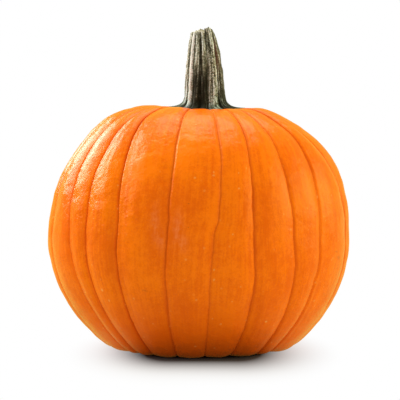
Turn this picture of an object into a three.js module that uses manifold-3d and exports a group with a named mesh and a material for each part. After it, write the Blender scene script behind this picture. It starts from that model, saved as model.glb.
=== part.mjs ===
// A carving pumpkin with its dried stem, whole and uncut.
// Millimetres, +Z up, seen from the front along +Y. The origin lies under the middle of the
// fruit, on the surface that it stands on. Angles round the fruit start at the front, and
// grow towards its right side, +X.
import * as THREE from "three";
import { mergeVertices } from "three/addons/utils/BufferGeometryUtils.js";
import Module from "manifold-3d";

// Driving dimensions of the fruit's smooth outline, which the rib crests follow
const fruitRadius = 140;
const waistHeight = 100;
const upperHeight = 126.8;
const lowerHeight = 130;
const upperPower = 2.36;
const lowerPower = 1.92;
const standSoftness = 1.6;
const stemDip = { height: -10.5, radius: 0, width: 42 };
const sideShoulders = { height: 3.2, radius: 54, width: 20 };
const leftShoulder = { height: 5.5, radius: 88, width: 22 };
const blossomDip = { height: 11, radius: 0, width: 32 };
const settling = 0.5;

// The stem end leans to the right of the middle, and the left and front shoulders stand higher
const topLean = 6;
const bottomLean = 2;
const sideSlope = 0.025;
const backSlope = 0.07;

// The creases between the ribs, in order from the left side round the front. Each has its angle
// at the waist and what is added to it at the stem, at the blossom end and halfway up, where the
// lower half bends the other way, all in degrees. Then come its depth and how far the rib after it
// swells, in millimetres. One crease steps sideways near the waist, by twice its step. The creases
// past 80 degrees are on the sides and the back, which follow the same pattern.
const creases = [
  { angle: -76, atStem: -6, atBlossom: 10, bend: 0, depth: 3.4, swell: -0.3 },
  { angle: -57, atStem: -6, atBlossom: 9, bend: -3.5, depth: 3.6, swell: -0.6 },
  { angle: -47.2, atStem: -3, atBlossom: 8, bend: -1.5, depth: 3.8, swell: 0.2 },
  { angle: -31.8, atStem: -12, atBlossom: 3, bend: 0, depth: 3.8, swell: 0.6 },
  { angle: -11.7, atStem: -4, atBlossom: -3, bend: 0.6, depth: 2.9, swell: 0.4 },
  { angle: 6.3, atStem: -0.5, atBlossom: -3, bend: 0.8, depth: 2.2, swell: 0.2, step: 0.9 },
  { angle: 21.3, atStem: 1.5, atBlossom: -4, bend: -0.9, depth: 2.7, swell: 0.3 },
  { angle: 38.6, atStem: -2, atBlossom: -4, bend: -1.6, depth: 2.5, swell: 0 },
  { angle: 52.6, atStem: 2, atBlossom: -7, bend: 0.4, depth: 2.9, swell: 0.8 },
  { angle: 78, atStem: -19, atBlossom: -7, bend: 0, depth: 2.8, swell: 0.2 },
  { angle: 94, atStem: -5, atBlossom: 2, bend: 1.5, depth: 3.2, swell: 0.3 },
  { angle: 112, atStem: 3, atBlossom: -3, bend: -1, depth: 3.4, swell: -0.3 },
  { angle: 127, atStem: 5, atBlossom: 4, bend: 1, depth: 2.9, swell: 0.5 },
  { angle: 147, atStem: -4, atBlossom: -2, bend: -1.5, depth: 3.5, swell: 0.3 },
  { angle: 166, atStem: 3, atBlossom: 4, bend: 0.8, depth: 3, swell: -0.2 },
  { angle: 182, atStem: -3, atBlossom: -3, bend: 1, depth: 3.3, swell: 0.6 },
  { angle: 203, atStem: 4, atBlossom: 2, bend: -1.2, depth: 3.6, swell: 0.1 },
  { angle: 219, atStem: -2, atBlossom: -4, bend: 1.4, depth: 3, swell: -0.4 },
  { angle: 234, atStem: 5, atBlossom: 3, bend: -0.8, depth: 3.5, swell: 0.5 },
  { angle: 253, atStem: 2, atBlossom: 6, bend: 1, depth: 3.3, swell: 0.2 },
  { angle: 269, atStem: -3, atBlossom: 8, bend: -1, depth: 3.1, swell: -0.8 },
];
const stepHeight = 124;
const stepLength = 7;
const ribFlatness = 2.8;
const creaseFading = 0.7;

// Driving dimensions of the stem: its radii are over the crests of its ridges, and its foot flares
// out over the fruit and clings to it
const stemLength = 74.5;
const stemRadius = 18.4;
const stemTopRadius = 10.4;
const stemTaperPower = 2.4;
const stemLean = -2.3;
const stemFlare = 4.5;
const shaftSeatRise = 2;
const footEdge = 1.2;
const footSink = 4;
const footEdgeDraft = 0.4;
const stemGap = 0.35;
const brokenEndDip = 2.5;
const brokenEndFading = 4;

// The furrows of the stem in order from its left side round the front: each has its angle at the
// foot and its depth, then how far the ridge after it stands proud, how far its toe spreads over
// the fruit, and how much higher or lower it broke off
const furrows = [
  { angle: -75, depth: 2.2, proud: 1, toe: 13, broken: -2 },
  { angle: -39, depth: 1.3, proud: -0.3, toe: 9, broken: 0 },
  { angle: -14, depth: 2.4, proud: 0, toe: 6.5, broken: 0.5 },
  { angle: 9, depth: 2.6, proud: 0.9, toe: 10, broken: 2.5 },
  { angle: 44, depth: 2.2, proud: 0.3, toe: 15, broken: 1 },
  { angle: 78, depth: 1.8, proud: 0.4, toe: 19, broken: -2.5 },
  { angle: 112, depth: 2.2, proud: 0.8, toe: 15, broken: -1 },
  { angle: 147, depth: 2, proud: 0, toe: 12, broken: 0.5 },
  { angle: 180, depth: 2.4, proud: 0.8, toe: 14, broken: 1 },
  { angle: 216, depth: 1.6, proud: 0.2, toe: 13, broken: -1 },
  { angle: 252, depth: 2, proud: 0.3, toe: 20, broken: -1.5 },
];
const stemTwist = 7;
const ridgeSharpness = 1.6;
const toePointing = 0.7;

// How finely the surfaces are divided
const ribColumns = [0, 0.1, 0.28, 0.5, 0.72, 0.9];
const fruitRows = 40;
const ridgeColumns = [0, 0.26, 0.5, 0.74];
const shaftRows = 17;
const shaftRowCrowding = 1.8;
const brokenEndRows = 2;
const weldDistance = 0.1;
const samePoint = 1e-5;

const fullTurn = 360;
const radians = THREE.MathUtils.degToRad;
const mix = THREE.MathUtils.lerp;

// The line that comes after this one, going round, with its angle counted on past a full turn
function nextRound(lines, index) {
  const following = lines[(index + 1) % lines.length];
  const turned = index + 1 < lines.length ? 0 : fullTurn;
  return { ...following, angle: following.angle + turned };
}

// How much a soft ring or dip adds to the height at a distance from the middle
function swelling(form, distance) {
  return form.height * Math.exp(-(((distance - form.radius) / form.width) ** 2));
}

// The smooth outline from the stem's middle, along = 0, down to the blossom's middle, along = pi
function outline(along) {
  const upper = Math.cos(along) > 0;
  const power = upper ? upperPower : lowerPower;
  const half = upper ? upperHeight : -lowerHeight;
  const radius = fruitRadius * Math.sin(along) ** (2 / power);
  const round = waistHeight + half * Math.abs(Math.cos(along)) ** (2 / power);
  if (upper) {
    return { radius, height: round + swelling(stemDip, radius) };
  }
  const stood = (round + Math.hypot(round, 2 * standSoftness)) / 2;
  return { radius, height: stood + swelling(blossomDip, radius) };
}

// A crease's angle where the outline is this far along
function creaseAngle(crease, along, height) {
  const rise = Math.cos(along);
  const drift = (rise > 0 ? crease.atStem : crease.atBlossom) * rise ** 2;
  const step = (crease.step ?? 0) * Math.tanh((height - stepHeight) / stepLength);
  return crease.angle + drift + crease.bend * Math.sin(Math.PI * rise) + step;
}

// A point of the skin: on the rib after one crease, across = 0 at that crease to 1 at the next one
function skinPoint(index, across, along) {
  const { radius, height } = outline(along);
  const nudge = 0.01;
  const before = outline(Math.max(along - nudge, 0));
  const after = outline(Math.min(along + nudge, Math.PI));
  const slope = Math.atan2(before.height - after.height, after.radius - before.radius);

  const crease = creases[index];
  const following = nextRound(creases, index);
  const angle = mix(creaseAngle(crease, along, height), creaseAngle(following, along, height), across);
  const side = Math.abs(2 * across - 1) ** ribFlatness;
  const depth = (across < 0.5 ? crease.depth : following.depth) * side;
  const relief = (crease.swell * (1 - side) - depth) * Math.sin(along) ** creaseFading;

  const reach = radius + relief * Math.sin(slope);
  const x = reach * Math.sin(radians(angle));
  const y = -reach * Math.cos(radians(angle));
  const sideways = along < Math.PI / 2 ? Math.sin(radians(angle)) : 0;
  const shoulder = swelling(sideShoulders, radius) * sideways ** 2
    + swelling(leftShoulder, radius) * Math.min(sideways, 0) ** 2;
  const z = height + relief * Math.cos(slope) + shoulder;
  const upward = THREE.MathUtils.smoothstep(z, waistHeight, waistHeight + upperHeight);
  const downward = THREE.MathUtils.clamp(1 - z / waistHeight, 0, 1) ** 2;
  return new THREE.Vector3(
    x + topLean * upward + bottomLean * downward,
    y,
    Math.max(z - (sideSlope * x + backSlope * y) * upward - settling, 0),
  );
}

// Height of the smooth upper skin beside the stem, x and y counted from the stem's middle
function seatHeight(x, y) {
  const distance = Math.hypot(x, y);
  const crown = upperHeight * (1 - (distance / fruitRadius) ** upperPower) ** (1 / upperPower);
  const shoulder = swelling(sideShoulders, distance) * (x / Math.max(distance, 1)) ** 2;
  const level = waistHeight + crown + swelling(stemDip, distance) + shoulder;
  return level - sideSlope * x - backSlope * y - settling;
}

// A closed skin: columns go round it, and rows go down from its top point to its lowest point
function closedSkin(columns, rows, place) {
  const geometry = new THREE.SphereGeometry(1, columns, rows);
  const position = geometry.getAttribute("position");
  for (let index = 0; index < position.count; index += 1) {
    const column = index % (columns + 1);
    const row = Math.floor(index / (columns + 1));
    const point = place(column % columns, row);
    position.setXYZ(index, point.x, point.y, point.z);
  }
  geometry.deleteAttribute("normal");
  geometry.deleteAttribute("uv");
  return mergeVertices(geometry, samePoint);
}

function fruitGeometry() {
  const columns = creases.length * ribColumns.length;
  return closedSkin(columns, fruitRows, (column, row) => {
    const along = (Math.PI * row) / fruitRows;
    if (row % fruitRows === 0) {
      return skinPoint(0, 0, along);
    }
    const index = Math.floor(column / ribColumns.length);
    return skinPoint(index, ribColumns[column % ribColumns.length], along);
  });
}

// How the stem's outside lies at a height above its seat: on the ridge after one furrow
function stemPoint(index, across, above, spread) {
  const furrow = furrows[index];
  const following = nextRound(furrows, index);
  const side = Math.abs(2 * across - 1) ** ridgeSharpness;
  const depth = (across < 0.5 ? furrow.depth : following.depth) * side;
  const rise = THREE.MathUtils.clamp(above / stemLength, 0, 1);
  const shaft = mix(stemRadius, stemTopRadius, rise ** stemTaperPower);
  const relief = (furrow.proud * (1 - side) - depth) * (shaft / stemRadius);
  const neighbour = across < 0.5 ? furrows.at(index - 1) : following;
  const toe = mix(furrow.toe, Math.min(furrow.toe, neighbour.toe) * toePointing, side);
  const flare = toe * Math.exp(-Math.max(above - footEdge, 0) / stemFlare);

  const angle = radians(mix(furrow.angle, following.angle, across) + stemTwist * rise);
  const reach = (shaft + relief + flare) * spread;
  const x = reach * Math.sin(angle);
  const y = -reach * Math.cos(angle);
  const clinging = Math.exp(-Math.max(above, 0) / (2 * stemFlare));
  const seat = mix(seatHeight(0, 0) + shaftSeatRise, seatHeight(x, y), clinging);
  return new THREE.Vector3(x + topLean + stemLean * rise ** 2, y, seat + above);
}

function stemGeometry() {
  const columns = furrows.length * ridgeColumns.length;
  const rows = brokenEndRows + shaftRows + 2;
  return closedSkin(columns, rows, (column, row) => {
    const index = Math.floor(column / ridgeColumns.length);
    const across = ridgeColumns[column % ridgeColumns.length];
    if (row === rows) {
      return new THREE.Vector3(topLean, 0, seatHeight(0, 0) - footSink);
    }
    if (row === rows - 1) {
      const edge = stemPoint(index, across, footEdge, 1);
      const draft = 1 + footEdgeDraft / stemRadius;
      return new THREE.Vector3((edge.x - topLean) * draft + topLean, edge.y * draft, edge.z - footSink);
    }
    const spread = Math.min(row / brokenEndRows, 1);
    const down = Math.max(row - brokenEndRows, 0) / shaftRows;
    const broken = mix(furrows[index].broken, nextRound(furrows, index).broken, across);
    const above = footEdge + (stemLength - footEdge) * (1 - down) ** shaftRowCrowding;
    const point = stemPoint(row === 0 ? 0 : index, row === 0 ? 0 : across, above, spread);
    point.z += broken * (1 - down) ** brokenEndFading * spread - brokenEndDip * (1 - spread ** 2);
    return point;
  });
}

const wasm = await Module();
wasm.setup();

function solidOf(geometry) {
  const vertProperties = new Float32Array(geometry.getAttribute("position").array);
  const triVerts = new Uint32Array(geometry.getIndex().array);
  return new wasm.Manifold(new wasm.Mesh({ numProp: 3, vertProperties, triVerts }));
}

// The cut leaves some corners almost on top of each other: they become one, and triangles that
// have shrunk to a line go
function geometryOf(solid) {
  const mesh = solid.getMesh();
  const cut = new THREE.BufferGeometry();
  cut.setAttribute("position", new THREE.BufferAttribute(new Float32Array(mesh.vertProperties), 3));
  cut.setIndex(new THREE.BufferAttribute(new Uint32Array(mesh.triVerts), 1));
  const geometry = mergeVertices(cut, weldDistance);
  const corners = geometry.getIndex().array;
  const kept = [];
  for (let index = 0; index < corners.length; index += 3) {
    const [a, b, c] = corners.slice(index, index + 3);
    if (a !== b && b !== c && c !== a) {
      kept.push(a, b, c);
    }
  }
  geometry.setIndex(kept);
  return geometry;
}

function piece(name, geometry, finish) {
  const mesh = new THREE.Mesh(geometry, new THREE.MeshStandardMaterial(finish));
  mesh.name = name;
  mesh.geometry.computeVertexNormals();
  return mesh;
}

const fruitSkin = fruitGeometry();
const raisedFruit = solidOf(fruitSkin).translate([0, 0, stemGap]);
const seatedStem = geometryOf(solidOf(stemGeometry()).subtract(raisedFruit));

const pumpkin = new THREE.Group();
pumpkin.add(piece("fruit", fruitSkin, { color: "#e87010", roughness: 0.42, metalness: 0 }));
pumpkin.add(piece("stem", seatedStem, { color: "#77705a", roughness: 0.85, metalness: 0 }));

// The origin is set under the middle of the fruit's widest outline
fruitSkin.computeBoundingBox();
const middle = fruitSkin.boundingBox.getCenter(new THREE.Vector3());
pumpkin.position.set(-middle.x, -middle.y, 0);

export default pumpkin;
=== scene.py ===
# A carving pumpkin with its dried stem, whole and uncut, on a white studio floor.
# The forms repeat the part's own formulas, made finer, in millimetres. They go into Blender in
# metres. Angles round the fruit start at the front and grow towards its right side, +X.
import math
import bpy
import numpy as np
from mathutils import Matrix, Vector, noise
from mathutils.bvhtree import BVHTree


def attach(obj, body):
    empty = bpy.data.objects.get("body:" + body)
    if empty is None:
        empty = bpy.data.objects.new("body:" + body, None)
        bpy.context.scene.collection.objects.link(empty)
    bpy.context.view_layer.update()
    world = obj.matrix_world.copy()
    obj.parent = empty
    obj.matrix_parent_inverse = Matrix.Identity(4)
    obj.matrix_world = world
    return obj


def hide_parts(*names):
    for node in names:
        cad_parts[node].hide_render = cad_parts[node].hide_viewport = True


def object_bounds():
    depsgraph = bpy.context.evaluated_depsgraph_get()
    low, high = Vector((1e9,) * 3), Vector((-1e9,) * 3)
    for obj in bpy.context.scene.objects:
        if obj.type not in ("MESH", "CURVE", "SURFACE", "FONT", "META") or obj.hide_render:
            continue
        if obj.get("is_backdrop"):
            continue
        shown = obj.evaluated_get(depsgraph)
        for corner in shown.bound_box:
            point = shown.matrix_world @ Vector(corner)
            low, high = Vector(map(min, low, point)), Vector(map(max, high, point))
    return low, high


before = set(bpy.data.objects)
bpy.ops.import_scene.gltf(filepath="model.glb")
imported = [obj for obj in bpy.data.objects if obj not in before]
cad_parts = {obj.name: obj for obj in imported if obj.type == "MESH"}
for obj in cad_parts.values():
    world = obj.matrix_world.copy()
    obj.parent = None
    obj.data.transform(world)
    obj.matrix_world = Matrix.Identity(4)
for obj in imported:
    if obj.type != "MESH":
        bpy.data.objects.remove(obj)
cadLow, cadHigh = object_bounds()
metresPerMm = 0.001
print("frame:", ", ".join(sorted(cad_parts)))

# Camera, light and floor
camera = {
    "elevation": 5,  # degrees above level
    "distance": 2400,
    "aim": (1.4, 0, 135.4),
    "viewWidth": 370.86,  # what the picture's width takes in, at the aim
    "sensor": 36,
    "clipping": (0.05, 200),  # metres
}


def makeCamera():
    data = bpy.data.cameras.new("studioCamera")
    made = bpy.data.objects.new("studioCamera", data)
    bpy.context.scene.collection.objects.link(made)
    tilt = math.radians(camera["elevation"])
    forward = Vector((0, math.cos(tilt), -math.sin(tilt)))
    made.location = (Vector(camera["aim"]) - forward * camera["distance"]) * metresPerMm
    made.rotation_euler = (math.radians(90) - tilt, 0, 0)
    data.sensor_width = camera["sensor"]
    data.lens = camera["sensor"] * camera["distance"] / camera["viewWidth"]
    data.clip_start, data.clip_end = camera["clipping"]
    bpy.context.scene.camera = made


makeCamera()
bpy.context.scene.view_settings.view_transform = "Standard"


# A value of a material's nodes: arithmetic on it adds Math nodes
class Value:
    def __init__(self, finish, socket):
        self.finish, self.socket = finish, socket

    def __add__(self, other):
        return self.finish.math("ADD", self, other)

    def __radd__(self, other):
        return self.finish.math("ADD", other, self)

    def __sub__(self, other):
        return self.finish.math("SUBTRACT", self, other)

    def __rsub__(self, other):
        return self.finish.math("SUBTRACT", other, self)

    def __mul__(self, other):
        return self.finish.math("MULTIPLY", self, other)

    def __rmul__(self, other):
        return self.finish.math("MULTIPLY", other, self)

    def __pow__(self, other):
        return self.finish.math("POWER", self, other)


# The nodes of one material or world
class Finish:
    def __init__(self, owner):
        owner.use_nodes = True
        self.tree = owner.node_tree
        self.tree.nodes.clear()

    def node(self, kind, settings=None, sockets=None, output=0):
        made = self.tree.nodes.new("ShaderNode" + kind)
        for name, setting in (settings or {}).items():
            if name == "stops":
                ramp = made.color_ramp.elements
                while len(ramp) < len(setting):
                    ramp.new(0.5)
                for element, (place, colour) in zip(ramp, setting):
                    element.position, element.color = place, (*colour, 1)
            else:
                setattr(made, name, setting)
        for name, value in (sockets or {}).items():
            if isinstance(value, Value):
                self.tree.links.new(value.socket, made.inputs[name])
            elif made.inputs[name].type == "RGBA":
                made.inputs[name].default_value = (*value, 1)
            else:
                made.inputs[name].default_value = value
        return Value(self, made.outputs[output]) if len(made.outputs) else None

    def math(self, operation, first, second):
        return self.node("Math", {"operation": operation}, {0: first, 1: second})

    def blend(self, share, first, second, mode="MIX"):
        settings = {"data_type": "RGBA", "blend_type": mode, "clamp_factor": True}
        return self.node("Mix", settings, {0: share, 6: first, 7: second}, output=2)

    # 0 below low, 1 above high, with a soft change between
    def step(self, value, low, high):
        settings = {"interpolation_type": "SMOOTHSTEP", "clamp": True}
        return self.node("MapRange", settings, {"Value": value, "From Min": low, "From Max": high})

    def speckle(self, place, scale, detail, roughness):
        sockets = {"Vector": place, "Scale": scale, "Detail": detail, "Roughness": roughness}
        return self.node("TexNoise", None, sockets)

    def carried(self, name, vector=False):
        output = "Vector" if vector else "Fac"
        return self.node("Attribute", {"attribute_name": name}, output=output)

    def stretched(self, place, scale):
        return self.node("VectorMath", {"operation": "MULTIPLY"}, {0: place, 1: scale})


studio = {
    "lightsMiddle": (0, 0, 0.13),  # what the lights turn round and face, in metres
    "domeLight": 0.7,
    "reflected": (1, 0.93, 0.2),  # colour of the dome and the floor where they are mirrored in the wax
    "floorHalf": 60,  # metres from its middle to its edge
    "floorAlbedo": 0.5,
    # metres, round the shadow's middle: its place, then half the length of its core
    "shadowMiddle": (0.004, -0.055),
    "shadowCore": 0.03,
    "shadowNarrow": 2,  # how much faster it ends sideways than in front
    "contactShade": 0.05,  # what is left of the albedo in the core
    "contactReach": (0.01, 0.16),
    "whiteReach": (0.045, 0.2),  # where the lit floor turns plain white
    "floorGlow": 0.85,  # how brightly the white floor lights the object
    "underGlow": 0.08,  # share of that light that still reaches the underside
    # name, azimuth from the camera's side, elevation, distance, width, height, radiance, colour
    "lights": [
        ("leftBackBox", -142, 22, 1.6, 0.66, 0.6, 5.6, (1, 0.98, 0.92)),
        ("leftRimBox", -115, 34, 1.6, 0.8, 1.0, 6.2, (1, 0.98, 0.92)),
        ("leftBox", -87, 34, 1.6, 0.9, 1.15, 2.1, (1, 0.98, 0.92)),
        ("topBackBox", 178, 69, 1.8, 1.3, 1.2, 2.5, (1, 0.97, 0.9)),
        ("topBox", -100, 80, 1.8, 1.0, 1.0, 1.4, (1, 0.97, 0.7)),
        ("rightBox", 85, 16, 1.8, 1.9, 1.0, 2.85, (1, 0.95, 0.4)),
    ],
}


def makeLights():
    middle = Vector(studio["lightsMiddle"])
    for name, azimuth, elevation, distance, width, height, radiance, colour in studio["lights"]:
        turn, rise = math.radians(azimuth), math.radians(elevation)
        level = math.cos(rise)
        towards = Vector((math.sin(turn) * level, -math.cos(turn) * level, math.sin(rise)))
        data = bpy.data.lights.new(name, "AREA")
        data.shape, data.size, data.size_y = "RECTANGLE", width, height
        data.energy = radiance * width * height * math.pi  # watts for this radiance
        data.color = colour
        made = bpy.data.objects.new(name, data)
        bpy.context.scene.collection.objects.link(made)
        made.location = middle + towards * distance
        made.rotation_euler = (-towards).to_track_quat("-Z", "Y").to_euler()
        made.visible_camera = False


# The camera sees plain white, and everything else is lit by a soft dome
def makeWorld():
    world = bpy.data.worlds.new("studioWorld")
    bpy.context.scene.world = world
    look = Finish(world)
    tint = look.blend(look.node("LightPath", output="Is Glossy Ray"), (1, 1, 1), studio["reflected"])
    dome = look.node("Background", None, {"Color": tint, "Strength": studio["domeLight"]})
    plain = look.node("Background", None, {"Color": (1, 1, 1), "Strength": 1})
    seen = look.node("LightPath", output="Is Camera Ray")
    both = look.node("MixShader", None, {0: seen, 1: dome, 2: plain})
    look.node("OutputWorld", None, {"Surface": both})


def makeFloor():
    mesh = bpy.data.meshes.new("studioFloor")
    half = studio["floorHalf"]
    corners = [(-half, -half, 0), (half, -half, 0), (half, half, 0), (-half, half, 0)]
    mesh.from_pydata(corners, [], [(0, 1, 2, 3)])
    floor = bpy.data.objects.new("studioFloor", mesh)
    bpy.context.scene.collection.objects.link(floor)
    material = bpy.data.materials.new("whiteFloor")
    mesh.materials.append(material)
    look = Finish(material)
    place = look.node("TexCoord", output="Object")
    # Distance from the shadow's core, which is a short line from left to right
    besideIt, beforeIt = studio["shadowMiddle"]
    across = look.node("SeparateXYZ", None, {0: place}, output="X")
    sideways = look.math("ABSOLUTE", across - besideIt, 0)
    sideways = look.math("MAXIMUM", sideways - studio["shadowCore"], 0) * studio["shadowNarrow"]
    deep = look.node("SeparateXYZ", None, {0: place}, output="Y") - beforeIt
    away = (sideways * sideways + deep * deep) ** 0.5
    grey = studio["floorAlbedo"]
    shaded = [grey * studio["contactShade"]] * 3
    tone = look.blend(look.step(away, *studio["contactReach"]), shaded, [grey] * 3)
    lit = look.node("BsdfDiffuse", None, {"Color": tone})
    seen = look.node("LightPath", output="Is Camera Ray")
    level = seen * (1 - studio["floorGlow"]) + studio["floorGlow"]
    tint = look.blend(look.node("LightPath", output="Is Glossy Ray"), (1, 1, 1), studio["reflected"])
    glow = look.node("Emission", None, {"Color": tint, "Strength": level})
    share = look.step(away, *studio["whiteReach"]) ** 0.5
    share = look.math("MAXIMUM", share, (1 - seen) * studio["underGlow"])
    top = look.node("MixShader", None, {0: share, 1: lit, 2: glow})
    # From below, the floor can be seen through
    below = look.node("NewGeometry", output="Backfacing")
    clear = look.node("BsdfTransparent")
    both = look.node("MixShader", None, {0: below, 1: top, 2: clear})
    look.node("OutputMaterial", None, {"Surface": both})
    floor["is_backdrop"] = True


makeLights()
makeWorld()
makeFloor()
print("camera, light and floor made")

# The fruit
fruit = {
    "radius": 140,
    "waistHeight": 100,
    "upperHeight": 126.8,
    "lowerHeight": 130,
    "upperPower": 2.36,
    "lowerPower": 1.92,
    "standSoftness": 1.6,
    # height, distance from the middle, width
    "stemDip": (-10.5, 0, 42),
    "sideShoulders": (3.2, 54, 20),
    "leftShoulder": (5.5, 88, 22),
    "blossomDip": (11, 0, 32),
    "settling": 0.5,
    "topLean": 6,
    "bottomLean": 2,
    "sideSlope": 0.025,
    "backSlope": 0.07,
    "ribFlatness": 2.3,
    "creaseFading": 0.7,
    "creaseWaver": 0.45,  # degrees
    "waverLengths": (24, 7),  # of the long wavers and the short ones
    "stepHeight": 124,
    "stepLength": 7,
    "columnsPerRib": 20,
    "crowding": 0.1,  # columns stand closer together at the creases
    "rows": 226,
}

# The creases between the ribs, from the left side round the front: angle at the waist, then what is
# added at the stem, at the blossom end and halfway up, in degrees; depth and the next rib's swell
# in millimetres; and half a sideways step near the waist
creases = np.array([
    (-76, -6, 10, 0, 3.4, -0.3, 0),
    (-57, -6, 9, -3.5, 3.6, -0.6, 0),
    (-47.2, -3, 8, -1.5, 3.8, 0.2, 0),
    (-31.8, -12, 3, 0, 3.8, 0.6, 0),
    (-11.7, -4, -3, 0.6, 2.9, 0.4, 0),
    (6.3, -0.5, -3, 0.8, 2.2, 0.2, 0.9),
    (21.3, 1.5, -4, -0.9, 2.7, 0.3, 0),
    (38.6, -2, -4, -1.6, 2.5, 0, 0),
    (52.6, 2, -7, 0.4, 2.9, 0.8, 0),
    (78, -19, -7, 0, 2.8, 0.2, 0),
    (94, -5, 2, 1.5, 3.2, 0.3, 0),
    (112, 3, -3, -1, 3.4, -0.3, 0),
    (127, 5, 4, 1, 2.9, 0.5, 0),
    (147, -4, -2, -1.5, 3.5, 0.3, 0),
    (166, 3, 4, 0.8, 3, -0.2, 0),
    (182, -3, -3, 1, 3.3, 0.6, 0),
    (203, 4, 2, -1.2, 3.6, 0.1, 0),
    (219, -2, -4, 1.4, 3, -0.4, 0),
    (234, 5, 3, -0.8, 3.5, 0.5, 0),
    (253, 2, 6, 1, 3.3, 0.2, 0),
    (269, -3, 8, -1, 3.1, -0.8, 0),
])
ribCount = len(creases)
creaseAngle, creaseAtStem, creaseAtBlossom, creaseBend, creaseDepth, ribSwell, creaseStep = creases.T
creaseWidth = np.ones(ribCount)
for crease, width in {0: 2.6, 1: 1.6, 2: 1.4, 9: 1.5, 10: 1.6, 20: 1.5}.items():
    creaseWidth[crease] = width  # wider at the sides


def swelling(form, distance):
    height, radius, width = form
    return height * np.exp(-(((distance - radius) / width) ** 2))


def softStep(value, low, high):
    share = np.clip((value - low) / (high - low), 0, 1)
    return share * share * (3 - 2 * share)


# Radius and height of the smooth outline, from the stem's middle, 0, to the blossom's middle, pi
def outline(along):
    upper = np.cos(along) > 0
    power = np.where(upper, fruit["upperPower"], fruit["lowerPower"])
    half = np.where(upper, fruit["upperHeight"], -fruit["lowerHeight"])
    radius = fruit["radius"] * np.abs(np.sin(along)) ** (2 / power)
    rounded = fruit["waistHeight"] + half * np.abs(np.cos(along)) ** (2 / power)
    stood = (rounded + np.hypot(rounded, 2 * fruit["standSoftness"])) / 2
    top = rounded + swelling(fruit["stemDip"], radius)
    bottom = stood + swelling(fruit["blossomDip"], radius)
    return radius, np.where(upper, top, bottom)


# Every crease's angle in each row, with the first one again after a full turn
def creaseLines(along, height, wavering):
    rise = np.cos(along)[:, None]
    drift = np.where(rise > 0, creaseAtStem, creaseAtBlossom) * rise ** 2
    step = creaseStep * np.tanh((height[:, None] - fruit["stepHeight"]) / fruit["stepLength"])
    lines = creaseAngle + drift + creaseBend * np.sin(math.pi * rise) + step
    if wavering:
        long, short = fruit["waverLengths"]
        apart = 9.1  # in the noise, so that no two creases waver alike
        lines = lines + wavering * np.array([[
            noise.noise((apart * number, z / long, 0)) + 0.5 * noise.noise((apart * number, z / short, 3))
            for number in range(ribCount)] for z in height.tolist()])
    return np.column_stack([lines, lines[:, 0] + 360])


# The skin's points: rows go down, columns go round. fine(...) gives the relief that is added to
# the ribs' own, square to the smooth outline
def skin(along, index, across, fine=None):
    radius, height = outline(along)
    nudge = 0.01  # along the outline, to measure its slope
    before = outline(np.maximum(along - nudge, 0))
    after = outline(np.minimum(along + nudge, math.pi))
    slope = np.arctan2(before[1] - after[1], after[0] - before[0])[:, None]
    lines = creaseLines(along, height, fruit["creaseWaver"] if fine else 0)
    radius, height = radius[:, None], height[:, None]
    angle = lines[:, index] * (1 - across) + lines[:, index + 1] * across
    side = np.abs(2 * across - 1) ** fruit["ribFlatness"]
    depth = np.where(across < 0.5, creaseDepth[index], creaseDepth[(index + 1) % ribCount]) * side
    relief = (ribSwell[index] * (1 - side) - depth) * np.sin(along)[:, None] ** fruit["creaseFading"]

    def placed(relief):
        reach = radius + relief * np.sin(slope)
        x = reach * np.sin(np.radians(angle))
        y = -reach * np.cos(np.radians(angle))
        sideways = np.where(along[:, None] < math.pi / 2, np.sin(np.radians(angle)), 0)
        shoulder = swelling(fruit["sideShoulders"], radius) * sideways ** 2
        shoulder = shoulder + swelling(fruit["leftShoulder"], radius) * np.minimum(sideways, 0) ** 2
        z = height + relief * np.cos(slope) + shoulder
        waist, crown = fruit["waistHeight"], fruit["upperHeight"]
        upward = softStep(z, waist, waist + crown)
        downward = np.clip(1 - z / waist, 0, 1) ** 2
        tilt = (fruit["sideSlope"] * x + fruit["backSlope"] * y) * upward
        x = x + fruit["topLean"] * upward + fruit["bottomLean"] * downward
        z = z - tilt - fruit["settling"]
        return np.stack([x, y, np.maximum(z, 0)], axis=-1)

    if fine is None:
        return placed(relief)
    fromLeft = radius * np.radians(angle - lines[:, index])
    toRight = radius * np.radians(lines[:, index + 1] - angle)
    return placed(relief + fine(placed(relief), angle, fromLeft, toRight, along, index))


# The part's origin is under the middle of its coarser skin, so this is made once to find it
ribsOnCad = [0, 0.1, 0.28, 0.5, 0.72, 0.9]
rowsOnCad = 40
cadColumns = np.arange(ribCount * len(ribsOnCad))
cadSkin = skin(
    np.linspace(0, math.pi, rowsOnCad + 1),
    cadColumns // len(ribsOnCad),
    np.array(ribsOnCad)[cadColumns % len(ribsOnCad)],
)
middle = (cadSkin.min((0, 1)) + cadSkin.max((0, 1))) / 2
print("fruit's middle in its own measures:", middle.round(3))

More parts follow.
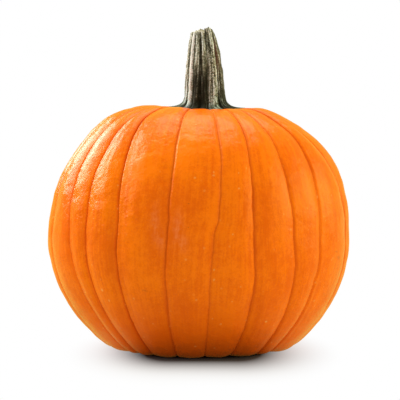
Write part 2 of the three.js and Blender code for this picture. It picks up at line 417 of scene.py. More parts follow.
# Fine relief of the skin, in millimetres
rind = {
    "grooveDepth": 1.0,
    "grooveWidth": 0.75,
    "fullRib": 22,  # ribs narrower than this have smaller grooves and lips
    "smallestShare": 0.12,
    "fadingHeights": (45, 185),  # the creases are fainter low down, in relief and in painted shade
    "fadingShare": 0.75,
    "deepCreases": (2.1, 3.7),  # shallow creases are fainter than the deep ones
    "shallowShare": 0.5,
    # width of the painted shade in the creases
    "creaseShadeWidth": 0.8,
    "lipHeight": 1.0,
    "lipPlace": 2.5,
    "lipWidth": 1.5,
    "lumps": 0.7,
    "lumpSize": 38,
    "dents": 0.4,
    "dentSize": 11,
    "dentsAtCrease": 0.3,  # share of the dents that is left beside a crease
    "calmEdge": 5,  # how far from a crease the skin is calmer
    "wrinkles": 0.42,
    "wrinkleSize": (13, 7),  # width and height
    "furrowing": 0.34,
    "furrowingSize": (5, 15),
    "foldsBelow": 0.22,  # share of the folds outside the wrinkled patches
    "foldsAdded": 0.34,  # what is added to that share higher up
    "foldHeights": (110, 180),
    "scar": 8.5,  # radius of the corky scar underneath
    "scarEdge": 1.5,
    "scarWaver": 5,
    "scarHeight": 0.5,
    "scarNub": (1.6, 3.6),  # height and width
    # patches: angle and height, then half sizes in degrees and millimetres
    "wrinkled": [(-46, 150, 20, 42), (-8, 205, 26, 24), (-34, 128, 18, 22), (150, 180, 40, 40)],
    "scuffs": [
        (-16.4, 125, 1.3, 14), (-13.8, 112, 1, 8), (-7.6, 121, 1.7, 13), (-5, 108, 1.2, 6),
        (170, 120, 2, 12),
    ],
    "spots": [
        (62.5, 127, 0.5, 1.1), (65, 88, 0.6, 1.4), (63.6, 94, 0.4, 0.8), (-20, 66, 0.4, 0.8),
        (200, 90, 0.6, 1.3),
    ],
    # angle and height of thin lines in the skin, then their depth, width and the swell beside them
    "lines": [
        ([
            (-43.2, 205), (-43.6, 194), (-43.8, 186), (-43.1, 176), (-42.2, 169), (-41, 160),
            (-40.4, 150),
        ], 0.7, 1.2, 0.5),
        ([(-27.6, 208), (-27.7, 193), (-27.6, 180), (-26.6, 155), (-27.7, 126)], 0.3, 2.2, 0.35),
        ([(-21.5, 208), (-21.6, 191), (-21, 181), (-19.1, 155), (-20.3, 126)], 0.28, 1.8, 0.3),
        ([(-5.6, 206), (-5.8, 191), (-6.2, 181), (-7, 156), (-7.6, 128)], 0.18, 1.8, 0.12),
        ([(18.2, 168), (17.7, 155), (15.5, 129), (15.4, 103), (13.6, 77)], 0.16, 1.6, 0.1),
        ([(24.6, 150), (25.8, 138), (27.2, 130), (28.7, 122), (30.2, 110)], 0.2, 1.6, 0.12),
        ([(14.5, 214), (13.6, 200), (13.8, 186)], 0.16, 2.2, 0.1),
        ([(-2.6, 216), (-3.4, 203), (-2.2, 190)], 0.18, 2.4, 0.12),
        ([(131, 205), (134, 190), (136, 172), (135, 150)], 0.5, 1.1, 0.3),
        ([(212, 208), (209, 188), (211, 165), (210, 140)], 0.45, 1.2, 0.35),
        ([(262, 190), (260, 170), (261, 148)], 0.4, 1.1, 0.25),
    ],
    "lineFade": 6,  # at their ends
    "swellPlace": 2.4,  # from a line's middle, in widths of the line
    "swellWidth": 1.6,
}


# Smooth noise at each of these points, between about -1 and 1
def grain(points, size, octaves=1):
    flat = (points / np.array(size)).reshape(-1, 3)
    if octaves == 1:
        values = [noise.noise(place) for place in flat.tolist()]
    else:
        values = [noise.fractal(place, 1.0, 2.0, octaves) for place in flat.tolist()]
    return np.array(values).reshape(points.shape[:-1])


# The same with cells of this width and height
def tallGrain(points, size, octaves=1):
    wide, tall = size
    return grain(points, (wide, wide, tall), octaves)


# How far each point is from a line, and 1 where the line is, 0 past its ends
def lineDistance(points, angle, z):
    heights = np.array([height for _, height in points][::-1], float)
    angles = np.array([where for where, _ in points][::-1], float)
    apart = np.radians(angle - np.interp(z, heights, angles)) * fruit["radius"]
    fade = rind["lineFade"]
    fromBelow = softStep(z, heights[0] - fade, heights[0] + fade)
    return apart, fromBelow * (1 - softStep(z, heights[-1] - fade, heights[-1] + fade))


# 1 in the middle of each patch, falling off to 0 round it
def patches(around, z, places):
    total = 0
    for middleAngle, middleHeight, wide, tall in places:
        turned = (around - middleAngle + 180) % 360 - 180
        total = total + np.exp(-((turned / wide) ** 2) - ((z - middleHeight) / tall) ** 2)
    return np.clip(total, 0, 1)


def creaseStrength(number):
    share = softStep(creaseDepth[number % ribCount], *rind["deepCreases"])
    return rind["shallowShare"] + (1 - rind["shallowShare"]) * share


def creaseFreshness(z):
    return rind["fadingShare"] + (1 - rind["fadingShare"]) * softStep(z, *rind["fadingHeights"])


def scarShare(points, along):
    radius = outline(along)[0][:, None] + rind["scarEdge"] * grain(points, rind["scarWaver"])
    outside = softStep(radius, rind["scar"] - rind["scarEdge"], rind["scar"])
    return (1 - outside) * (points[..., 2] < fruit["waistHeight"])


def fineRelief(points, angle, fromLeft, toRight, along, index):
    around = (angle + 180) % 360 - 180
    z = points[..., 2]
    ribWidth = fromLeft + toRight
    narrow = np.clip(ribWidth / rind["fullRib"], rind["smallestShare"], 1)
    ends = np.sin(along)[:, None] ** 0.5
    width = rind["grooveWidth"] * narrow
    first, second = creaseStrength(index), creaseStrength(index + 1)
    groove = first * np.exp(-((fromLeft / width / creaseWidth[index]) ** 2))
    groove = groove + second * np.exp(-((toRight / width / creaseWidth[(index + 1) % ribCount]) ** 2))
    groove = groove * creaseFreshness(z)
    lip = np.exp(-(((fromLeft - rind["lipPlace"] * narrow) / (rind["lipWidth"] * narrow)) ** 2))
    relief = (-rind["grooveDepth"] * groove + rind["lipHeight"] * first ** 2 * lip) * narrow * ends
    for line, depth, lineWidth, swell in rind["lines"]:
        apart, share = lineDistance(line, around if line[0][0] < 180 else around % 360, z)
        cut = -depth * np.exp(-((apart / lineWidth) ** 2))
        fromBank = apart - rind["swellPlace"] * lineWidth
        bank = swell * np.exp(-((fromBank / (rind["swellWidth"] * lineWidth)) ** 2))
        relief = relief + (cut + bank) * share
    away = 1 - np.exp(-((np.minimum(fromLeft, toRight) / rind["calmEdge"]) ** 2))
    dented = rind["dentsAtCrease"] + (1 - rind["dentsAtCrease"]) * away
    # The numbers added to the points take each noise from another place
    relief = relief + rind["lumps"] * grain(points, rind["lumpSize"], 2) * ends
    relief = relief + rind["dents"] * grain(points + 400, rind["dentSize"]) * dented
    folds = rind["wrinkles"] * tallGrain(points - 300, rind["wrinkleSize"], 2)
    folds = folds + rind["furrowing"] * tallGrain(points - 700, rind["furrowingSize"])
    nubHeight, nubWidth = rind["scarNub"]
    nub = nubHeight * np.exp(-((outline(along)[0] / nubWidth) ** 2))[:, None]
    relief = relief + nub * (z < fruit["waistHeight"])
    relief = relief + rind["scarHeight"] * scarShare(points, along)
    share = rind["foldsBelow"] + rind["foldsAdded"] * softStep(z, *rind["foldHeights"])
    share = share + (1 - share) * patches(around, z, rind["wrinkled"])
    return relief + folds * share * away * ends


# Rows that are the same distance apart along the outline
def evenRows(count):
    samples = 4001
    fineAlong = np.linspace(0, math.pi, samples)
    radius, height = outline(fineAlong)
    length = np.hypot(np.diff(radius), np.diff(height)).cumsum()
    length = np.concatenate([[0], length])
    return np.interp(np.linspace(0, length[-1], count + 1), length, fineAlong)


# A closed mesh from rings of points, with a point in the middle of each end
def gridMesh(name, grid, top, bottom):
    rows, columns = grid.shape[:2]
    points = np.concatenate([grid.reshape(-1, 3), [top, bottom]])
    topPoint, bottomPoint = rows * columns, rows * columns + 1
    faces = []
    for row in range(rows - 1):
        for column in range(columns):
            after = (column + 1) % columns
            faces.append((
                row * columns + column, (row + 1) * columns + column,
                (row + 1) * columns + after, row * columns + after,
            ))
    last = (rows - 1) * columns
    for column in range(columns):
        after = (column + 1) % columns
        faces.append((topPoint, column, after))
        faces.append((bottomPoint, last + after, last + column))
    mesh = bpy.data.meshes.new(name)
    mesh.from_pydata((points * metresPerMm).tolist(), [], faces)
    mesh.shade_smooth()
    made = bpy.data.objects.new(name, mesh)
    bpy.context.scene.collection.objects.link(made)
    return made


# Values at a piece's points, for its material
def carry(piece, name, values, kind="FLOAT"):
    stored = piece.data.attributes.new(name, kind, "POINT")
    field = "value" if kind == "FLOAT" else "vector"
    stored.data.foreach_set(field, np.asarray(values, np.float32).ravel())


def makeFruit():
    along = evenRows(fruit["rows"])[1:-1]
    columns = np.arange(ribCount * fruit["columnsPerRib"])
    index = columns // fruit["columnsPerRib"]
    even = (columns % fruit["columnsPerRib"]) / fruit["columnsPerRib"]
    across = even - fruit["crowding"] * np.sin(2 * math.pi * even)
    kept = {}

    def fine(points, angle, fromLeft, toRight, along, index):
        around = (angle + 180) % 360 - 180
        z = points[..., 2]
        # Painted shade along the creases, kept as the crease mask
        atFirst = fromLeft < toRight
        near = np.where(atFirst, creaseStrength(index), creaseStrength(index + 1))
        wide = creaseWidth[np.where(atFirst, index, (index + 1) % ribCount)] * rind["creaseShadeWidth"]
        creaseShade = near * np.exp(-((np.minimum(fromLeft, toRight) / wide) ** 2))
        kept["crease"] = creaseShade * creaseFreshness(z)
        kept["wrinkled"] = patches(around, z, rind["wrinkled"])
        kept["scar"] = scarShare(points, along)
        kept["scuff"] = patches(around, z, rind["scuffs"])
        kept["spot"] = patches(around, z, rind["spots"])
        return fineRelief(points, angle, fromLeft, toRight, along, index)

    grid = skin(along, index, across, fine) - (middle[0], middle[1], 0)
    ends = skin(np.array([0, math.pi]), index[:1], across[:1])[:, 0] - (middle[0], middle[1], 0)
    piece = gridMesh("pumpkinRind", grid, ends[0], ends[1])
    for name, values in kept.items():
        carry(piece, name, np.append(values, [0, float(name == "scar")]))
    # A place that runs along the ribs, for the streaks
    radius, height = outline(along)
    arc = np.concatenate([[0], np.hypot(np.diff(radius), np.diff(height)).cumsum()])
    turned = np.radians(360 * (index + across) / ribCount)
    wrap = fruit["radius"] * np.stack([np.sin(turned), -np.cos(turned)], -1)
    wrap = np.broadcast_to(wrap, grid.shape[:2] + (2,))
    down = np.broadcast_to(arc[:, None, None], grid.shape[:2] + (1,))
    ribPlace = np.concatenate([wrap, down], -1).reshape(-1, 3)
    ribPlace = np.concatenate([ribPlace, [(0, 0, 0), (0, 0, arc[-1])]])
    carry(piece, "ribPlace", ribPlace * metresPerMm, "FLOAT_VECTOR")
    return piece


rindPiece = makeFruit()
print("fruit made:", len(rindPiece.data.polygons), "faces")

# The stem
stem = {
    "length": 74.5,
    "radius": 18.4,
    "topRadius": 10.4,
    "taperPower": 2.4,
    "lean": -2.3,
    "flare": 3.3,
    "clinging": 1.7,  # how many flares high the foot follows the fruit's skin
    "seatRise": 2,
    "footEdge": 1.6,
    "sinking": [(2.6, 1), (4.6, 0.9)],  # rings below the foot: how deep, and their share of its width
    # how far the right side bulges, its angle and half width, how far up it is and half its length
    "rightShoulder": (1.0, 75, 38, 0.8, 0.22),
    "brokenEndDip": 3.5,
    "brokenEndFading": 5,
    "centreDip": 0.4,
    "chips": 1.05,
    "chipSize": 1.5,
    "flakeSize": (1.6, 6),  # width and height
    "flakesInside": 0.4,  # share of the flakes' height in the middle of the broken face
    "flakeEnding": 6,  # the higher, the closer to the edge they end
    # towards the middle of the broken face, and down the shaft: the higher, the sooner it ends
    "splinterEnding": (4, 30),
    "pithEnding": (4, 40),
    "pithAtEdge": 0.5,
    "twist": 7,
    "ridgeSharpness": 2.0,
    "furrowDeepening": 1.3,
    "toePointing": 0.55,
    "strands": 0.45,  # fine ridges along the big ones
    "strandSize": (2.3, 34),
    "threads": 0.22,
    "threadSize": (1.05, 30),
    "fibres": 0.4,
    "fibreSize": (1.5, 11),
    "knots": 0.5,
    "knotSize": 8,
    "pits": 0.45,
    "pitSize": (1.25, 1.7),
    "pitted": (0.12, 0.42),
    "pitsOffRidge": 0.3,  # share of the pits that the other ridges have
    "pitsInFurrow": 0.5,  # share of them that is left in the furrows
    "grainRadius": 17,
    "edgeGrainRadius": 12,
    "columnsPerRidge": 30,
    "shaftRows": 190,
    "rowCrowding": 1.4,  # rows stand closer together at the foot
    "endRows": 16,
    # places round the foot: angle and half width
    # the ridge on the left that is painted with a highlight
    "highlightRidge": (-51.5, 5.5),
    "bigRidge": (28, 20),
    "paleToe": (27, 14),
    "redStreak": (51, 5),
    "redStart": (0.42, 0.62),  # shares of the stem's length
    "redEnd": (0.8, 0.95),
}
# How much each form adds to or takes from the paleness of the skin
stemTone = {
    # painted shade: how much darker the furrows are painted
    "furrows": 0.5,
    "pits": 0.33,
    "strands": 0.34,
    "fibres": 0.22,
    "knots": 0.12,
    "threads": 0.3,
    "paleThreads": 0.42,  # lone pale fibres in the dark parts
    "paleThreadRange": (0.1, 0.42),
    "highlightRidge": 1.12,  # painted highlight: the paleness that the ridge on the left comes near to
    "highlightShare": 0.85,
    "paleRise": (0.3, 0.66),  # where the foot's paleness turns into the top's
    "darkRise": (0.35, 0.6),
}
# Furrows from the left side round the front: angle at the foot, depth, how far the ridge after it
# stands proud, how far its toe spreads, and how pale the ridge is near the top and at the foot; on the
# left side this paleness also holds painted highlight
furrows = np.array([
    (-84, 1.7, 0, 19, 0.72, 0.66),
    (-60, 0.9, 0.5, 9, 1.0, 0.98),
    (-43, 1.7, -0.3, 9, 0.62, 0.16),
    (-15, 2.4, -0.2, 6.5, 0.5, 0.12),
    (9, 2.7, 1.0, 11, 0.76, 0.72),
    (47, 1.7, 0.3, 16, 0.56, 0.3),
    (78, 1.8, 0.5, 19, 0.5, 0.22),
    (112, 2.2, 0.8, 15, 0.7, 0.4),
    (147, 2, 0, 12, 0.5, 0.2),
    (180, 2.4, 0.8, 14, 0.75, 0.5),
    (216, 1.6, 0.2, 13, 0.55, 0.25),
    (252, 2, 0, 21, 0.85, 0.75),
])
ridgeCount = len(furrows)
furrowAngle, furrowDepth, ridgeProud, ridgeToe, paleAbove, paleBelow = furrows.T
# Where the stem broke off: angle, and how much higher than its mean length
brokenEdge = [
    (-90, -2.4), (-72, -2.4), (-58, -1.4), (-40, -1.2), (-14, -0.8), (-5, -0.4), (-1, -1.8),
    (5, -1.6), (9, 2.2), (20, 3), (34, 2.7), (48, 1.8), (60, 0.4), (76, -2.4), (112, -2),
    (150, 0.5), (180, 1.2), (215, -1), (250, -1.8),
]


# Height of the fruit's skin at these places beside the stem, counted from the stem's middle
def makeSeat():
    above = 400
    tree = BVHTree.FromPolygons(
        [tuple(vertex.co) for vertex in rindPiece.data.vertices],
        [tuple(face.vertices) for face in rindPiece.data.polygons],
    )

    def seat(x, y):
        heights = []
        for across, deep in zip(x.tolist(), y.tolist()):
            start = Vector((across + fruit["topLean"] - middle[0], deep - middle[1], above)) * metresPerMm
            hit = tree.ray_cast(start, Vector((0, 0, -1)))[0]
            heights.append(hit.z / metresPerMm)
        return np.array(heights)

    return seat


# Points of a level ring at these angles
def ringPoints(angles, radius):
    turned = np.radians(angles)
    return np.stack([np.sin(turned), -np.cos(turned), np.zeros_like(turned)], -1) * radius


# 1 at a place's angle, falling off over its half width
def nearAngle(angles, place):
    middleAngle, halfWidth = place
    return np.exp(-(((angles - middleAngle) / halfWidth) ** 2))


def makeStem():
    seatHeight = makeSeat()
    columns = np.arange(ridgeCount * stem["columnsPerRidge"])
    index = columns // stem["columnsPerRidge"]
    after = (index + 1) % ridgeCount
    across = (columns % stem["columnsPerRidge"]) / stem["columnsPerRidge"]
    side = np.abs(2 * across - 1) ** stem["ridgeSharpness"]
    nearFirst = across < 0.5
    depth = np.where(nearFirst, furrowDepth[index], furrowDepth[after]) * side * stem["furrowDeepening"]
    neighbourToe = np.where(nearFirst, ridgeToe[index - 1], ridgeToe[after])
    lowerToe = np.minimum(ridgeToe[index], neighbourToe)
    toe = ridgeToe[index] * (1 - side) + lowerToe * stem["toePointing"] * side
    turnOn = np.where(index + 1 < ridgeCount, 0, 360)
    angleAtFoot = furrowAngle[index] * (1 - across) + (furrowAngle[after] + turnOn) * across
    edgeAngles, edgeHeights = np.array(brokenEdge).T
    broken = np.interp(angleAtFoot, edgeAngles, edgeHeights, period=360)
    bulge, bulgeAngle, bulgeHalf, bulgeRise, bulgeLength = stem["rightShoulder"]
    rightSide = nearAngle(angleAtFoot, (bulgeAngle, bulgeHalf))
    highlightRidge = nearAngle(angleAtFoot, stem["highlightRidge"])
    bigRidge = nearAngle(angleAtFoot, stem["bigRidge"])
    foot = round(float(seatHeight(np.zeros(1), np.zeros(1))[0]), 3)
    kept = {"tone": [], "rise": [], "brokenEnd": [], "dark": []}

    def keep(**values):
        for name, value in values.items():
            kept[name].append(np.broadcast_to(value, len(columns)))

    # One ring of the stem: its height, and its share of the full radius
    def ring(above, spread):
        rise = min(max(above / stem["length"], 0), 1)
        shaft = stem["radius"] + (stem["topRadius"] - stem["radius"]) * rise ** stem["taperPower"]
        shaft = shaft + bulge * rightSide * math.exp(-(((rise - bulgeRise) / bulgeLength) ** 2))
        relief = (ridgeProud[index] * (1 - side) - depth) * (shaft / stem["radius"])
        flare = toe * math.exp(-max(above - stem["footEdge"], 0) / stem["flare"])
        outward = ringPoints(angleAtFoot + stem["twist"] * rise, 1)
        at = ringPoints(angleAtFoot, stem["grainRadius"])
        at[:, 2] = above
        # Here too, the numbers added take each noise from another place
        strands = tallGrain(at + 70, stem["strandSize"])
        fibres = tallGrain(at, stem["fibreSize"], 2)
        threads = tallGrain(at + 110, stem["threadSize"])
        knots = grain(at + 30, stem["knotSize"], 2)
        pitted = softStep(tallGrain(at - 45, stem["pitSize"]), *stem["pitted"])
        offRidge = stem["pitsOffRidge"]
        pits = pitted * (offRidge + (1 - offRidge) * bigRidge) * (1 - (1 - stem["pitsInFurrow"]) * side)
        bumps = stem["strands"] * strands + stem["fibres"] * fibres + stem["threads"] * threads
        bumps = bumps + stem["knots"] * knots - stem["pits"] * pits
        reach = (shaft + relief + flare + bumps) * spread
        x, y = reach * outward[:, 0], reach * outward[:, 1]
        clinging = math.exp(-max(above, 0) / (stem["clinging"] * stem["flare"]))
        seat = np.full(len(x), foot + stem["seatRise"])
        if clinging > 0.004:  # further up the fruit's skin no longer counts
            seat = seat * (1 - clinging) + seatHeight(x, y) * clinging
        ends = broken * rise ** stem["brokenEndFading"] * spread
        lean = stem["lean"] * rise ** 2
        change = softStep(rise, *stemTone["paleRise"])
        pale = paleBelow[index] + (paleAbove[index] - paleBelow[index]) * change
        # Painted shade darkens the furrows; the pits are darker too
        tone = pale - stemTone["furrows"] * side ** 2 - stemTone["pits"] * pits
        tone = tone + stemTone["strands"] * strands + stemTone["fibres"] * fibres
        tone = tone + stemTone["knots"] * knots + stemTone["threads"] * threads
        lone = softStep(threads, *stemTone["paleThreadRange"])
        tone = tone + stemTone["paleThreads"] * (1 - pale) * lone
        # Painted highlight: the ridge on the left is painted nearly white
        tone = tone + (stemTone["highlightRidge"] - tone) * stemTone["highlightShare"] * highlightRidge
        keep(tone=tone, rise=rise, dark=(1 - pale) * (1 - softStep(rise, *stemTone["darkRise"])))
        return np.stack([x + fruit["topLean"] + lean - middle[0], y - middle[1], seat + above + ends], -1)

    # The broken face, from its middle out, with splinters round its edge
    rows = []
    inward, downward = stem["splinterEnding"]
    pithInward, pithDownward = stem["pithEnding"]
    inside, atEdge = stem["flakesInside"], stem["pithAtEdge"]
    splinters = grain(ringPoints(angleAtFoot, stem["edgeGrainRadius"]), stem["chipSize"], 2) * stem["chips"]
    for row in range(1, stem["endRows"]):
        spread = row / stem["endRows"]
        line = ring(stem["length"], spread)
        share = inside + (1 - inside) * spread
        flakes = tallGrain(line + 20, stem["flakeSize"], 3) * stem["chips"] * share
        line[:, 2] += flakes * (1 - spread ** stem["flakeEnding"]) + splinters * spread ** inward
        line[:, 2] -= stem["brokenEndDip"] * (1 - spread ** 2)
        rows.append(line)
        keep(brokenEnd=1 - (1 - atEdge) * spread ** pithInward)
    # The shaft, from the broken edge down to the foot
    for row in range(stem["shaftRows"] + 1):
        share = (1 - row / stem["shaftRows"]) ** stem["rowCrowding"]
        above = stem["footEdge"] + (stem["length"] - stem["footEdge"]) * share
        line = ring(above, 1)
        rise = above / stem["length"]
        line[:, 2] += splinters * rise ** downward
        rows.append(line)
        keep(brokenEnd=atEdge * rise ** pithDownward)
    # Its underside, sunk into the fruit
    centre = np.array((fruit["topLean"] - middle[0], -middle[1], 0))
    footLine = rows[-1]
    for sink, share in stem["sinking"]:
        rows.append((footLine - centre) * (share, share, 1) + centre - (0, 0, sink))
        keep(tone=0, rise=0, brokenEnd=0, dark=1)
    grid = np.array(rows)
    piece = gridMesh("pumpkinStem", grid, grid[0].mean(0) - (0, 0, stem["centreDip"]), grid[-1].mean(0))
    for name, lines in kept.items():
        carry(piece, name, np.append(np.array(lines), [lines[0][0], lines[-1][0]]))
    rises = np.array(kept["rise"])
    # A place that runs along the stem, for its fibres
    wrap = np.broadcast_to(ringPoints(angleAtFoot, stem["radius"]), grid.shape).copy()
    wrap[..., 2] = rises * stem["length"]
    wrap = np.concatenate([wrap.reshape(-1, 3), [(0, 0, stem["length"]), (0, 0, 0)]])
    carry(piece, "fibrePlace", wrap * metresPerMm, "FLOAT_VECTOR")
    red = nearAngle(angleAtFoot, stem["redStreak"]) * softStep(rises, *stem["redStart"])
    carry(piece, "red", np.append(red * (1 - softStep(rises, *stem["redEnd"])), [0, 0]))
    paleToe = np.broadcast_to(nearAngle(angleAtFoot, stem["paleToe"]), grid.shape[:2])
    carry(piece, "paleToe", np.append(paleToe, [0, 0]))
    return piece


stemPiece = makeStem()
print("stem made:", len(stemPiece.data.polygons), "faces")

# Finishes: scales are per metre, and pairs are the values where a change starts and ends
rindFinish = {
    "deep": (0.82, 0.122, 0.0),
    "bright": (0.98, 0.186, 0.0),
    "cloudScale": 22,
    "streakScale": 300,
    "streakSquash": 0.06,  # along the ribs, so that the streaks are long
    "mottleScale": 190,
    "grainScale": 620,
    "shadeParts": (0.36, 0.26, 0.18, 0.2),  # of the clouds, streaks, mottle and grain
    "shadeRange": (0.41, 0.59),
    "low": (0.84, 0.105, 0.0),  # painted shade: deeper where it stands on the floor
    "shadedLowHeights": (0.0, 0.075),
    "shadedLowShare": 0.85,
    # painted shade in the creases: its colour, and how much of it is blended in
    "crease": (0.44, 0.055, 0.004),
    "creaseShading": 0.62,
    "scuff": (0.88, 0.24, 0.08),
    "scuffRange": (0.38, 0.6),
    "scuffShare": 0.5,
    "speck": (0.98, 0.5, 0.12),
    "speckScale": 130,
    "speckWarp": (300, 0.002),  # scale, and how far it moves the specks' edges
    "speckSize": (0.02, 0.07),  # the smallest, and how much larger they can be
    "speckEdge": 0.12,
    "speckChance": (0.35, 0.98),
    "speckClouds": (0.36, 0.56),
    "speckShare": 0.45,
    "darkSpot": (0.3, 0.06, 0.01),
    "darkSpotEdge": (0.06, 0.12),
    "darkSpotChance": (0.02, 0.03),
    "darkSpotShare": 0.6,
    "placedSpotShare": 0.7,
    "scar": (0.3, 0.19, 0.1),
    "scarRange": (0.3, 0.5),
    "bump": 0.0015,
    # scale and squash in height, then the relief all over and what the wrinkled patches add
    "folds": (105, 1.4, 0.24, 0.32),
    "dimples": (210, 1.2, 0.26, 0.1),
    "mottleRelief": 0.16,
    "grainRelief": 0.08,
    "speckRelief": 0.06,
    "roughness": 0.23,
    "roughnessRange": (0.2, 0.8),
    "roughnessChange": 0.1,
    "creaseRoughening": 0.5,
    "creaseRoughness": 0.9,
    "creaseDullness": 0.9,  # how much of the gloss is gone in the creases
    "ior": 1.33,
    "specularTint": (1, 0.75, 0.38),
}


# Relief of one kind: noise that is stronger in the wrinkled patches
def rindRelief(look, place, wrinkled, name):
    scale, squash, everywhere, added = rindFinish[name]
    noisy = look.speckle(look.stretched(place, (1, 1, squash)), scale, 3, 0.6)
    return noisy * (wrinkled * added + everywhere)


def paintRind():
    material = bpy.data.materials.new("waxyRind")
    look = Finish(material)
    place = look.node("TexCoord", output="Object")
    alongRib = look.carried("ribPlace", vector=True)
    wrinkled = look.carried("wrinkled")
    # Clouds, streaks and grain of two oranges
    clouds = look.speckle(place, rindFinish["cloudScale"], 3, 0.55)
    streaked = look.stretched(alongRib, (1, 1, rindFinish["streakSquash"]))
    streaks = look.speckle(streaked, rindFinish["streakScale"], 3, 0.6)
    mottle = look.speckle(place, rindFinish["mottleScale"], 4, 0.6)
    fineGrain = look.speckle(place, rindFinish["grainScale"], 2, 0.6)
    ofClouds, ofStreaks, ofMottle, ofGrain = rindFinish["shadeParts"]
    shade = clouds * ofClouds + streaks * ofStreaks + mottle * ofMottle + fineGrain * ofGrain
    shade = look.step(shade, *rindFinish["shadeRange"])
    colour = look.blend(shade, rindFinish["deep"], rindFinish["bright"])
    upward = look.node("SeparateXYZ", None, {0: place}, output="Z")
    # Painted shade: the lower part is blended towards a deeper orange
    low = 1 - look.step(upward, *rindFinish["shadedLowHeights"])
    colour = look.blend(low * rindFinish["shadedLowShare"], colour, rindFinish["low"])
    # Painted shade: the creases are painted a darker orange
    crease = look.carried("crease")
    colour = look.blend(crease * rindFinish["creaseShading"], colour, rindFinish["crease"])
    scuffed = look.step(streaks * 0.5 + mottle * 0.5, *rindFinish["scuffRange"])
    scuffed = look.carried("scuff") * scuffed
    colour = look.blend(scuffed * rindFinish["scuffShare"], colour, rindFinish["scuff"])
    # Pale specks and a few dark ones, each in a cell with its own chance and size
    warpScale, warp = rindFinish["speckWarp"]
    moved = look.node("TexNoise", None, {"Vector": place, "Scale": warpScale}, output="Color")
    moved = look.stretched(moved, [warp] * 3)
    warped = look.node("VectorMath", {"operation": "ADD"}, {0: place, 1: moved})
    cell = {"Vector": warped, "Scale": rindFinish["speckScale"]}
    distance = look.node("TexVoronoi", {"feature": "F1"}, cell, output="Distance")
    chance = look.node("TexVoronoi", {"feature": "F1"}, cell, output="Color")
    luck = look.node("SeparateColor", None, {0: chance}, output="Red")
    size = look.node("SeparateColor", None, {0: chance}, output="Green")
    smallest, larger = rindFinish["speckSize"]
    edge = size * larger + smallest
    specks = 1 - look.step(distance, edge, edge + rindFinish["speckEdge"])
    specks = specks * look.step(luck, *rindFinish["speckChance"])
    specks = specks * look.step(clouds, *rindFinish["speckClouds"])
    colour = look.blend(specks * rindFinish["speckShare"], colour, rindFinish["speck"])
    dark = 1 - look.step(distance, *rindFinish["darkSpotEdge"])
    dark = dark * (1 - look.step(luck, *rindFinish["darkSpotChance"]))
    dark = dark * rindFinish["darkSpotShare"] + look.carried("spot") * rindFinish["placedSpotShare"]
    colour = look.blend(dark, colour, rindFinish["darkSpot"])
    corky = look.carried("scar") * look.step(fineGrain, *rindFinish["scarRange"])
    colour = look.blend(corky, colour, rindFinish["scar"])
    # Relief and gloss
    relief = rindRelief(look, place, wrinkled, "folds") + rindRelief(look, place, wrinkled, "dimples")
    relief = relief + mottle * rindFinish["mottleRelief"] + fineGrain * rindFinish["grainRelief"]
    relief = relief - specks * rindFinish["speckRelief"]
    bump = look.node("Bump", None, {"Strength": 1.0, "Distance": rindFinish["bump"], "Height": relief})
    rough = look.step(mottle, *rindFinish["roughnessRange"]) * rindFinish["roughnessChange"]
    rough = rough + crease * rindFinish["creaseRoughening"]
    rough = rough + (rindFinish["roughness"] - rindFinish["roughnessChange"] / 2)
    waxy = look.node("BsdfPrincipled", None, {
        "Base Color": colour,
        "Roughness": rough,
        "Normal": bump,
        "IOR": rindFinish["ior"],
        "Specular Tint": rindFinish["specularTint"],
    })
    dull = look.node("BsdfPrincipled", None, {
        "Base Color": colour,
        "Roughness": rindFinish["creaseRoughness"],
        "Normal": bump,
        "Specular IOR Level": 0,
    })
    share = crease * rindFinish["creaseDullness"]
    surface = look.node("MixShader", None, {0: share, 1: waxy, 2: dull})
    look.node("OutputMaterial", None, {"Surface": surface})
    return material


stemFinish = {
    # how dark to how pale the dry skin is
    "tones": [
        (0.0, (0.008, 0.008, 0.004)), (0.25, (0.036, 0.034, 0.019)), (0.5, (0.130, 0.122, 0.072)),
        (0.75, (0.350, 0.345, 0.235)), (1.0, (0.860, 0.850, 0.740)),
    ],
    "grainScale": 950,
    "grainShare": 1.4,
    "fibreScale": 900,
    "fibreSquash": 0.12,
    "fibreShare": 0.5,
    "mottleScale": 480,
    "mottleShare": 0.5,
    "cool": (0.6, 0.58, 0.74),  # tint of the dark lower shaft
    "coolShare": 0.8,
    "nearFruit": (0.76, 0.96, 1.0),  # tint low down, against the orange light from the fruit
    "nearFruitRise": (0.0, 0.6),  # shares of the stem's length
    "red": (0.15, 0.055, 0.03),
    "redShare": 0.6,
    "foot": (0.015, 0.016, 0.011),
    "footRise": (0.02, 0.13),
    "footShare": 0.82,
    "pith": (0.66, 0.59, 0.42),
    "pithRange": (0.38, 0.6),
    "fibreRelief": 0.4,
    "grainRelief": 0.6,
    "bumpStrength": 0.9,
    "bump": 0.0008,
    "roughness": 0.85,
    "specular": 0.25,
}


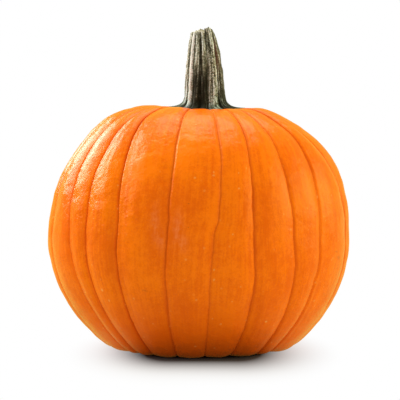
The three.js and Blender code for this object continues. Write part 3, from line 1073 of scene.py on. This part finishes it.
def paintStem():
    material = bpy.data.materials.new("dryStem")
    look = Finish(material)
    place = look.node("TexCoord", output="Object")
    alongStem = look.carried("fibrePlace", vector=True)
    rise = look.carried("rise")
    grains = look.speckle(place, stemFinish["grainScale"], 3, 0.7)
    fibred = look.stretched(alongStem, (1, 1, stemFinish["fibreSquash"]))
    fibres = look.speckle(fibred, stemFinish["fibreScale"], 2, 0.6)
    mottle = look.speckle(place, stemFinish["mottleScale"], 2, 0.6)
    light = look.carried("tone") + (grains - 0.5) * stemFinish["grainShare"]
    light = light + (fibres - 0.5) * stemFinish["fibreShare"] + (mottle - 0.5) * stemFinish["mottleShare"]
    colour = look.node("ValToRGB", {"stops": stemFinish["tones"]}, {0: light})
    cool = look.carried("dark") * stemFinish["coolShare"]
    colour = look.blend(cool, colour, stemFinish["cool"], "MULTIPLY")
    nearFruit = 1 - look.step(rise, *stemFinish["nearFruitRise"])
    colour = look.blend(nearFruit, colour, stemFinish["nearFruit"], "MULTIPLY")
    colour = look.blend(look.carried("red") * stemFinish["redShare"], colour, stemFinish["red"])
    low = (1 - look.step(rise, *stemFinish["footRise"])) * (1 - look.carried("paleToe"))
    colour = look.blend(low * stemFinish["footShare"], colour, stemFinish["foot"])
    pithy = look.carried("brokenEnd") * look.step(grains, *stemFinish["pithRange"])
    colour = look.blend(pithy, colour, stemFinish["pith"])
    relief = fibres * stemFinish["fibreRelief"] + grains * stemFinish["grainRelief"]
    bump = look.node("Bump", None, {
        "Strength": stemFinish["bumpStrength"],
        "Distance": stemFinish["bump"],
        "Height": relief,
    })
    surface = look.node("BsdfPrincipled", None, {
        "Base Color": colour,
        "Roughness": stemFinish["roughness"],
        "Normal": bump,
        "Specular IOR Level": stemFinish["specular"],
    })
    look.node("OutputMaterial", None, {"Surface": surface})
    return material


rindPiece.data.materials.append(paintRind())
stemPiece.data.materials.append(paintStem())
print("finishes made")

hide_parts("fruit")
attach(rindPiece, "root")
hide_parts("stem")
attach(stemPiece, "root")

low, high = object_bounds()
for name, corners in {"CAD": (*cadLow, *cadHigh), "visual": (*low, *high)}.items():
    print(name, "box in mm:", [round(value / metresPerMm, 1) for value in corners])
